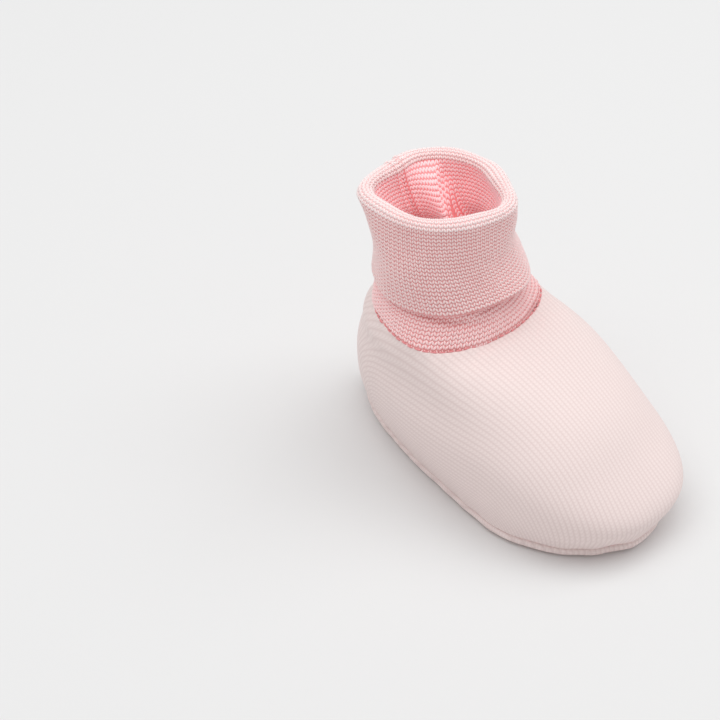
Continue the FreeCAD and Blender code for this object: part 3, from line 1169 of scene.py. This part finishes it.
@dataclass(frozen=True)
class Crease:
    """The slanting fold across the collar: a groove with a soft roll above it."""

    angle: float = -138.0
    wide: float = 17.0
    rise: float = 7.6
    slope: float = -0.055
    depth: float = 1.1
    narrow: float = 0.7
    roll: float = 0.8
    roll_above: float = 1.8
    roll_wide: float = 1.1

    def fold(self, push: Array, angle: Array, rise: Array) -> Array:
        """Adds the fold to a face.

        Args:
            push: How far each place is pushed out so far.
            angle: Each column's angle round the cuff.
            rise: Each place's rise above the ankle.

        Returns:
            How far each place is pushed out with the fold.
        """
        gap = np.degrees(turn_gap(angle, math.radians(self.angle)))
        line = self.rise + self.slope * gap
        hold = swell(gap, 0.0, self.wide)
        push = push - self.depth * hold * swell(rise, line, self.narrow)
        return push + self.roll * hold * swell(rise, line + self.roll_above, self.roll_wide)


class CuffFace(Enum):
    """The faces of the cuff that are knitted over."""

    FLAP = "flap"
    RIM = "rim"
    INSIDE = "inside"
    COLLAR = "collar"


@dataclass(frozen=True)
class CuffLook:
    """The cuff's finishes: its ground cloth outside, in the bore and on the rim, and each face's yarn. The
    ground is painted darker than the yarn as shade between the stitches.
    """

    ground: Material
    bore_ground: Material
    rim_ground: Material
    yarns: dict[CuffFace, Material]


@dataclass
class Cuff:
    """The rib-knit cuff: a wall standing on the ankle seam, turned down outside itself."""

    middle: Array
    top: float
    ankle_line: Array
    cloth: float = 2.0
    knit_rise: float = 1.3
    wales: int = 92
    course: float = 1.15
    bore_course: float = 1.27
    seam_depth: float = 0.75
    seam_width: float = 0.55
    seam_edge: float = 0.3
    seam_edge_place: float = 1.7
    seam_edge_width: float = 0.7
    sway: float = 0.28
    collar_sway: float = 0.4
    collar_swell: float = 0.35

    CREASE = Crease()
    HEM = Ring(10.7, 23.6, 21.3, 0.0, 0.4, 2.0, 0.1, -14.0,
               (Corner(-28.0, -3.2, 26.0), Corner(136.0, 0.4, 25.0)),
               (Corner(-45.0, -1.0, 32.0), Corner(-100.0, 1.9, 25.0)))
    WAIST = Ring(22.0, 20.6, 18.4, -2.85, 2.6, 0.0, 0.0, -6.0, (
        Corner(48.0, -1.5, 22.0), Corner(-30.0, -1.4, 26.0)))
    BROW = Ring(29.6, 19.7, 18.9, -2.95, 4.4, 0.0, 0.0, 1.0, (
        Corner(-68.0, 1.3, 18.0), Corner(143.0, 0.9, 17.0), Corner(95.0, -0.6, 14.0),
        Corner(50.0, -0.8, 18.0)))
    SHOULDER = Ring(34.2, 19.2, 19.2, -2.9, 4.9, 0.0, 0.0, 3.0, (
        Corner(-68.0, 2.4, 17.0), Corner(141.0, 2.6, 15.0), Corner(95.0, -1.3, 14.0),
        Corner(52.0, 0.2, 16.0), Corner(-38.0, -0.7, 20.0)))
    COLUMNS = 368
    FLAP_ROWS = 44
    RIM_ROWS = 16
    BORE_ROWS = 56
    COLLAR_ROWS = 34
    COLLAR_ABOVE = 6.5
    CUT = Cut(124.0, 60.0)
    UNDER_ROWS = 20
    UNDER_REACH = 9
    UNDER_SHARE = 0.92
    HEM_ROWS = 7
    SAMPLE_ROWS = 24
    STAND_OFF = Corner(-72.0, 4.0, 36.0)
    FOOT_FROM = 0.7
    FOOT_LIP = 0.3
    FOOT_PAD = 0.15
    EDGE_PAD = 0.5
    FOOT_RISE = 0.35
    FOOT_INSET = 0.2
    FOOT_TWIST = -8.0
    NECK_RISE = 5.6
    NECK_SHARE = 0.5
    NECK = Corner(-5.0, 1.6, 42.0)
    HANG = 0.25
    HEM_DENT = Corner(36.0, 5.0, 6.0, 28.0)
    WAIST_DENT = Corner(42.0, 8.0, 5.5, 26.0)
    BROW_DENT = Corner(50.0, 4.4, 5.0, 24.0)

    def flap_rings(self, shares: Array) -> tuple[Array, Array]:
        """The rises of the turned-down layer's rings, and their points."""
        rings = (self.HEM, self.WAIST, self.BROW, self.SHOULDER)
        points = np.stack([ring.points(self.middle, shares) for ring in rings])
        return np.array([ring.rise for ring in rings]), points

    def foot_ring(self, shares: Array, inset: float) -> Array:
        """The wall's lowest ring, which stands on the upper's ankle line."""
        marks = (shares + self.FOOT_TWIST / 360.0 * near_seam(shares)) % 1.0
        line = np.vstack([self.ankle_line, self.ankle_line[:1]])
        known = np.linspace(0.0, 1.0, len(line))
        ring = np.stack([np.interp(marks, known, line[:, axis]) for axis in range(3)], axis=1)
        out = ring - self.ankle_line.mean(axis=0)
        out[:, 2] = 0.0
        out /= np.linalg.norm(out, axis=1, keepdims=True)
        return ring - out * (inset + self.FOOT_INSET) - [0.0, 0.0, self.FOOT_RISE]

    def wall_rings(self, shares: Array, inset: float) -> tuple[Array, Array]:
        """The rises and points of the standing layer's rings: its outside, or with an inset its bore."""
        angle = around_from_back(shares)
        under = self.cloth + self.HANG + inset
        hem = under + self.STAND_OFF.at(angle) + self.HEM_DENT.at(angle)
        foot = self.foot_ring(shares, inset)
        low = self.HEM.points(self.middle, shares, hem)
        above = self.HEM.points(self.middle, shares, hem + self.NECK.at(angle))
        neck = foot * (1.0 - self.NECK_SHARE) + above * self.NECK_SHARE
        neck[:, 2] = 0.5 * (foot[:, 2] + low[:, 2])
        points = [foot, neck, low,
                  self.WAIST.points(self.middle, shares, under + self.WAIST_DENT.at(angle)),
                  self.BROW.points(self.middle, shares, under + self.BROW_DENT.at(angle)),
                  self.SHOULDER.points(self.middle, shares, under)]
        rings = (self.HEM, self.WAIST, self.BROW, self.SHOULDER)
        rises = [self.FOOT_FROM, self.NECK_RISE, *(ring.rise for ring in rings)]
        return np.array(rises), np.stack(points)

    def face(self, face: CuffFace, rows: int, shares: Array, pad: float = 0.0) -> Array:
        """A grid over one face, its rows in the order that the cloth runs.

        Args:
            face: Which face.
            rows: How many rows.
            shares: Places round the cuff from the seam.
            pad: How much of a row to leave at each end.

        Returns:
            The grid in millimetres, shape (rows, len(shares), 3).
        """
        share = (np.arange(rows) + pad) / (rows - 1 + 2 * pad)
        if face is CuffFace.FLAP:
            rises, rings = self.flap_rings(shares)
            grid = through(rises, rings, rises[0] + share * (rises[-1] - rises[0]))
        elif face is CuffFace.RIM:
            outside = self.SHOULDER.points(self.middle, shares)
            inside = self.SHOULDER.points(self.middle, shares, 2.0 * self.cloth + self.HANG)
            half = 0.5 * (outside - inside)
            angle = math.pi * share[:, None, None]
            grid = 0.5 * (outside + inside) + half * np.cos(angle)
            lift = self.top - self.knit_rise - outside[:, 2].mean()
            grid[..., 2] += lift * np.sin(angle[..., 0])
        elif face is CuffFace.INSIDE:
            rises, rings = self.wall_rings(shares, self.cloth)
            grid = through(rises, rings, rises[-1] - share * (rises[-1] - rises[0]))
        else:
            rises, rings = self.wall_rings(shares, 0.0)
            stop = self.HEM.rise + self.COLLAR_ABOVE
            grid = through(rises, rings, rises[0] + share * (stop - rises[0]))
        return self.shaped(face, grid, shares)

    def shaped(self, face: CuffFace, grid: Array, shares: Array) -> Array:
        """Adds the seam, the soft waves and the collar's fold to a face."""
        from_seam = np.minimum(shares, 1.0 - shares) * TURN * self.SHOULDER.half_x
        push = -self.seam_depth * np.exp(-((from_seam / self.seam_width) ** 2))
        push = push + self.seam_edge * swell(from_seam, self.seam_edge_place, self.seam_edge_width)
        push = np.broadcast_to(push, grid.shape[:2]).copy()
        wave = Ripple(41, 17.0, 0.4).at(grid)
        push += (self.sway if face is not CuffFace.COLLAR else self.collar_sway) * wave
        if face is CuffFace.COLLAR:
            rise = grid[..., 2] - self.middle[2]
            push = self.CREASE.fold(push, around_from_back(shares), rise)
            push += self.collar_swell * np.sin(np.pi * np.clip(rise / (self.HEM.rise + 1.0), 0.0, 1.0))
        return grid + grid_normals(grid) * push[..., None]

    def ground_marks(self, count: int) -> Array:
        """Which finish each face of the ground cloth takes: 0 outside, 1 in the bore, whose copy carries
        painted light, 2 on the rim, whose copy is painted paler as highlight.
        """
        marks = np.zeros(count, np.int32)
        rim = self.FLAP_ROWS - 1
        bore = self.FLAP_ROWS + self.RIM_ROWS
        marks[rim * self.COLUMNS:bore * self.COLUMNS] = 2
        marks[bore * self.COLUMNS:(bore + self.BORE_ROWS) * self.COLUMNS] = 1
        return marks

    def build(self) -> Piece:
        """Makes the cuff's ground cloth: one closed shell with the hollow under the flap."""
        columns = self.COLUMNS
        shares = np.arange(columns) / columns
        flap = self.face(CuffFace.FLAP, self.FLAP_ROWS, shares)
        rim = self.face(CuffFace.RIM, self.RIM_ROWS + 2, shares)[1:-1]
        inside = self.face(CuffFace.INSIDE, self.BORE_ROWS, shares)
        collar = self.rounded_foot(self.face(CuffFace.COLLAR, self.COLLAR_ROWS, shares))
        under = self.flap_underside(flap)
        hem = self.hem_turn(under[-1], flap[0])
        points = np.concatenate([flap, rim, inside, collar, under, hem])
        reach = row_reach(points)
        around = np.arange(columns + 1) / columns * TURN * self.SHOULDER.half_x
        along = np.concatenate([reach, reach[:, :1]], axis=1)
        grain = np.stack([np.broadcast_to(around, along.shape), along], axis=-1)
        return surface_object("cuff_knit", points, grain, True)

    def flap_underside(self, flap: Array) -> Array:
        """The hidden face of the flap, from the hollow's top down to the hem."""
        inner = flap - grid_normals(flap) * (self.cloth * self.UNDER_SHARE)
        pick = np.linspace(self.UNDER_REACH, 0, self.UNDER_ROWS)
        low = np.floor(pick).astype(int)
        part = (pick - low)[:, None, None]
        return inner[low] * (1.0 - part) + inner[np.minimum(low + 1, len(inner) - 1)] * part

    def rounded_foot(self, collar: Array) -> Array:
        """Rounds the collar's lower edge in towards the ankle seam."""
        return collar - grid_normals(collar) * lip(row_reach(collar), self.FOOT_LIP)[..., None]

    def hem_turn(self, start: Array, stop: Array) -> Array:
        """A half-round edge from the flap's underside to its outside."""
        share = np.linspace(0.0, 1.0, self.HEM_ROWS + 2)[1:-1, None, None]
        grid = start[None] * (1.0 - share) + stop[None] * share
        grid[..., 2] -= 0.5 * self.cloth * self.UNDER_SHARE * np.sin(np.pi * share[..., 0])
        return grid

    def knit(self, stitches: KnitStitches, flat: KnitStitches) -> list[Piece]:
        """Knits over every face that shows, with the flat stitches in the bore."""
        shares = (np.arange(self.wales) + 0.5) / self.wales
        pitch = TURN * self.SHOULDER.half_x / self.wales
        pieces = []
        for face in CuffFace:
            length = float(row_reach(self.face(face, self.SAMPLE_ROWS, shares))[-1].mean())
            course = self.bore_course if face is CuffFace.INSIDE else self.course
            courses = max(3, round(length / course))
            if face is CuffFace.COLLAR:
                grid = self.rounded_foot(self.face(face, courses, shares, self.FOOT_PAD))
            else:
                grid = self.face(face, courses, shares, self.EDGE_PAD)
            shape = flat if face is CuffFace.INSIDE else stitches
            pieces.append(shape.grow(f"cuff_stitches_{face.value}", grid, pitch, length / courses))
        return pieces

    def dress(self, cloth: Piece, stitches: list[Piece], look: CuffLook) -> None:
        settle(cloth, look.ground, Slot.RIB, ("cuff",))
        # Painted light: the bore and the rim take their own copies of the knit, pinker and emitting in the
        # bore, paler on the rim.
        for finish in (look.bore_ground, look.rim_ground):
            cloth.data.materials.append(finish)
        cloth.data.polygons.foreach_set("material_index", self.ground_marks(len(cloth.data.polygons)))
        self.CUT.lay(cloth, Held.FOLDED, "upper_jersey")
        for face, piece in zip(CuffFace, stitches):
            settle(piece, look.yarns[face], Slot.RIB, ())


# ---- the seams


@dataclass
class Seams:
    """The sewing thread of every seam, lying in its crease."""

    upper: Upper
    sole: Sole
    cuff: Cuff
    sewing: ThreadStitches
    sink: float = 0.1
    ankle_sink: float = 0.15
    ankle_rise: float = 0.1
    lining_depth: float = 2.8
    welt_inset: float = 0.6
    lining_inset: float = 3.1
    lining_rise: float = 4.75

    PALE = ("sole_seam_thread", "heel_seam_thread")

    def build(self) -> dict[str, Piece]:
        """Makes each seam's row of stitches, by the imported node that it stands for."""
        skin = self.upper.skin()
        normals = grid_normals(skin)
        lining = skin - normals * self.lining_depth
        bore = self.cuff.face(CuffFace.INSIDE, 60, np.arange(120) / 120)
        bore_line = (bore + grid_normals(bore) * self.sink)[2:-3, 0]
        welt_line, lining_line = self.sole.drawn_in(np.array([self.welt_inset, self.lining_inset]))
        welt_line[:, 2] = self.sole.form.welt
        lining_line[:, 2] = self.lining_rise
        ankle = skin[-1] - normals[-1] * self.ankle_sink + [0.0, 0.0, self.ankle_rise]
        rows = slice(6, -4)
        paths = {
            "ankle_seam_thread": (ankle, True),
            "sole_seam_thread": (welt_line, True),
            "lining_sole_seam_thread": (lining_line, True),
            "heel_seam_thread": ((skin - normals * self.sink)[rows, 0], False),
            "lining_heel_seam_thread": (lining[rows, 0], False),
            "cuff_seam_thread": (bore_line, False),
        }
        return {
            node: self.sewing.grow(node.replace("thread", "stitches"), path, closed)
            for node, (path, closed) in paths.items()
        }

    def dress(self, pieces: dict[str, Piece], pink_and_crease_shade: Material,
              pale: Material) -> None:
        """Gives every row of stitches its thread: pale on the outside of the foot, and elsewhere the deeper
        thread, whose colour also paints the shade in the seam creases.
        """
        for node, piece in pieces.items():
            settle(piece, pale if node in self.PALE else pink_and_crease_shade, Slot.THREAD, (node,))


# ---- studio


@dataclass(frozen=True)
class Lamp:
    """A soft white square lamp: where it hangs and its side in metres, and its power in watts."""

    name: str
    place: tuple[float, float, float]
    size: float
    power: float

    def hang(self, aim: Vector) -> None:
        """Adds the lamp, looking at its aim."""
        data = bpy.data.lights.new(self.name, "AREA")
        data.shape = "SQUARE"
        data.size = self.size
        data.energy = self.power
        lamp = add_object(self.name, data)
        lamp.location = self.place
        lamp.rotation_euler = (Vector(self.place) - aim).to_track_quat("Z", "Y").to_euler()


@dataclass
class Studio:
    """The pale floor, soft light and camera."""

    elevation: float = 39.0
    azimuth: float = -44.3
    distance: float = 0.6
    aim: tuple[float, float, float] = (0.00043, 0.057, 0.0)
    lens: float = 99.9
    sensor: float = 36.0
    nearest: float = 0.01
    floor_size: float = 6.0
    sky: float = 0.54
    bounces: int = 12
    lit: tuple[float, float, float] = (0.0, 0.0, 0.03)

    LAMPS = (Lamp("key", (0.62, -0.25, 1.25), 1.1, 7.0), Lamp("top", (-0.3, 0.28, 1.45), 1.3, 10.0))

    def camera(self) -> None:
        """Sets the camera up, looking at its aim."""
        high = math.radians(self.elevation)
        turned = math.radians(self.azimuth)
        back = Vector((math.sin(turned) * math.cos(high), -math.cos(turned) * math.cos(high), math.sin(high)))
        data = bpy.data.cameras.new("camera")
        data.lens = self.lens
        data.sensor_width = self.sensor
        data.clip_start = self.nearest
        view = add_object("camera", data)
        view.location = Vector(self.aim) + back * self.distance
        view.rotation_euler = back.to_track_quat("Z", "Y").to_euler()
        bpy.context.scene.camera = view

    def build(self) -> None:
        """Builds the whole studio."""
        self.camera()
        half = self.floor_size / 2.0
        mesh = bpy.data.meshes.new("floor")
        mesh.from_pydata([(-half, -half, 0.0), (half, -half, 0.0), (half, half, 0.0), (-half, half, 0.0)],
                         [], [(0, 1, 2, 3)])
        mesh.materials.append(FloorFinish().material())
        add_object("floor", mesh)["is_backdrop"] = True
        for lamp in self.LAMPS:
            lamp.hang(Vector(self.lit))
        world = bpy.data.worlds.new("studio")
        world.use_nodes = True
        background = world.node_tree.nodes["Background"]
        background.inputs["Color"].default_value = (1.0, 1.0, 1.0, 1.0)
        background.inputs["Strength"].default_value = self.sky
        bpy.context.scene.world = world
        bpy.context.scene.view_settings.view_transform = "Standard"
        bpy.context.scene.cycles.diffuse_bounces = self.bounces


def write_sizes() -> None:
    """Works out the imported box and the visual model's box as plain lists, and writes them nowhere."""
    boxes = {"cad": CAD_BOX, "visual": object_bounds()}
    plain = {name: [[float(x) for x in corner] for corner in box] for name, box in boxes.items()}


def cuff_look() -> CuffLook:
    """The cuff's finishes, with painted light: pinkest and emitting in the bore, palest on the rim as painted
    highlight, and the ground darker as painted shade between the stitches.
    """
    # Painted highlight: the rim's yarn is near white, as if lit from above.
    rim_yarn = YarnFinish("rim_yarn", colour(255, 244, 243), colour(253, 230, 229))
    # Painted light: the bore's yarn emits, standing in for light that comes through the cloth and bounces
    # inside.
    bore_yarn = YarnFinish("bore_yarn", colour(255, 230, 232), colour(254, 210, 213), painted_glow=0.08)
    # Painted light: the collar's yarn emits a little, standing in for light coming through the cloth.
    collar_yarn = YarnFinish("collar_yarn", colour(255, 228, 228), colour(250, 208, 208), painted_glow=0.05)
    return CuffLook(
        # Painted shade: the ground behind the stitches is a deeper, darker colour for the shade in the gaps
        # between them.
        YarnFinish("rib_ground", colour(238, 172, 172), colour(228, 152, 152)).material(),
        # Painted light: the bore's ground is pinker and emits, for the light that comes through and bounces
        # round inside.
        YarnFinish("bore_ground", colour(252, 164, 166), colour(246, 144, 146), painted_glow=0.08).material(),
        # Painted highlight: the rim's ground is paler, as if lit from above.
        YarnFinish("rim_ground", colour(248, 204, 203), colour(240, 188, 187)).material(),
        {
            CuffFace.FLAP: YarnFinish("rib_yarn", colour(255, 233, 232), colour(248, 215, 214)).material(),
            CuffFace.RIM: rim_yarn.material(),
            CuffFace.INSIDE: bore_yarn.material(),
            CuffFace.COLLAR: collar_yarn.material(),
        })


def main() -> None:
    """Builds the bootie from the sole up, then the studio round it."""
    logging.basicConfig(level=logging.INFO, format="%(name)s: %(message)s")
    jersey = JerseyFinish("pale_jersey", colour(246, 230, 227), colour(230, 211, 208)).material()
    lining_cloth = JerseyFinish("lining_jersey", colour(248, 226, 224), colour(222, 184, 182)).material()
    look = cuff_look()
    # Painted shade: this thread's deeper colour also stands for the shade in the seam creases it lies in.
    pink_and_crease_shade = YarnFinish("pink_thread", colour(240, 160, 162), colour(226, 138, 141), gloss=0.2).material()
    pale = YarnFinish("pale_thread", colour(240, 212, 210), colour(228, 194, 192), gloss=0.3).material()
    wadding = WaddingFinish().material()

    low, high = box_mm("upper_outer")
    form = FootForm(welt=float(low[2]), ankle=float(high[2]) + ANKLE_EASE, toe=float(low[1]),
                    heel=float(high[1]), half_width=float(high[0] - low[0]) / 2.0)
    sole = Sole(form)
    sole.dress(*sole.build(), jersey, wadding)
    upper = Upper(form)
    upper.dress(upper.build(), jersey)
    lining = Lining(form, upper.skin())
    lining.dress(*lining.build(), lining_cloth)

    seam_low, seam_high = box_mm("ankle_seam_thread")
    middle = (seam_low + seam_high) / 2.0
    middle[2] = high[2]
    flat = KnitStitches(look.yarns[CuffFace.INSIDE], leg_length=1.44, leg_width=0.64, leg_rise=0.4)
    ankle_line = even_ring(form.rows(3, form.FINE)[-1], form.FINE)
    cuff = Cuff(middle, float(box_mm("cuff")[1][2]), ankle_line)
    cuff.dress(cuff.build(), cuff.knit(KnitStitches(look.yarns[CuffFace.FLAP]), flat), look)
    seams = Seams(upper, sole, cuff, ThreadStitches(pink_and_crease_shade))
    seams.dress(seams.build(), pink_and_crease_shade, pale)
    Studio().build()
    write_sizes()


if __name__ == "__main__":
    main()
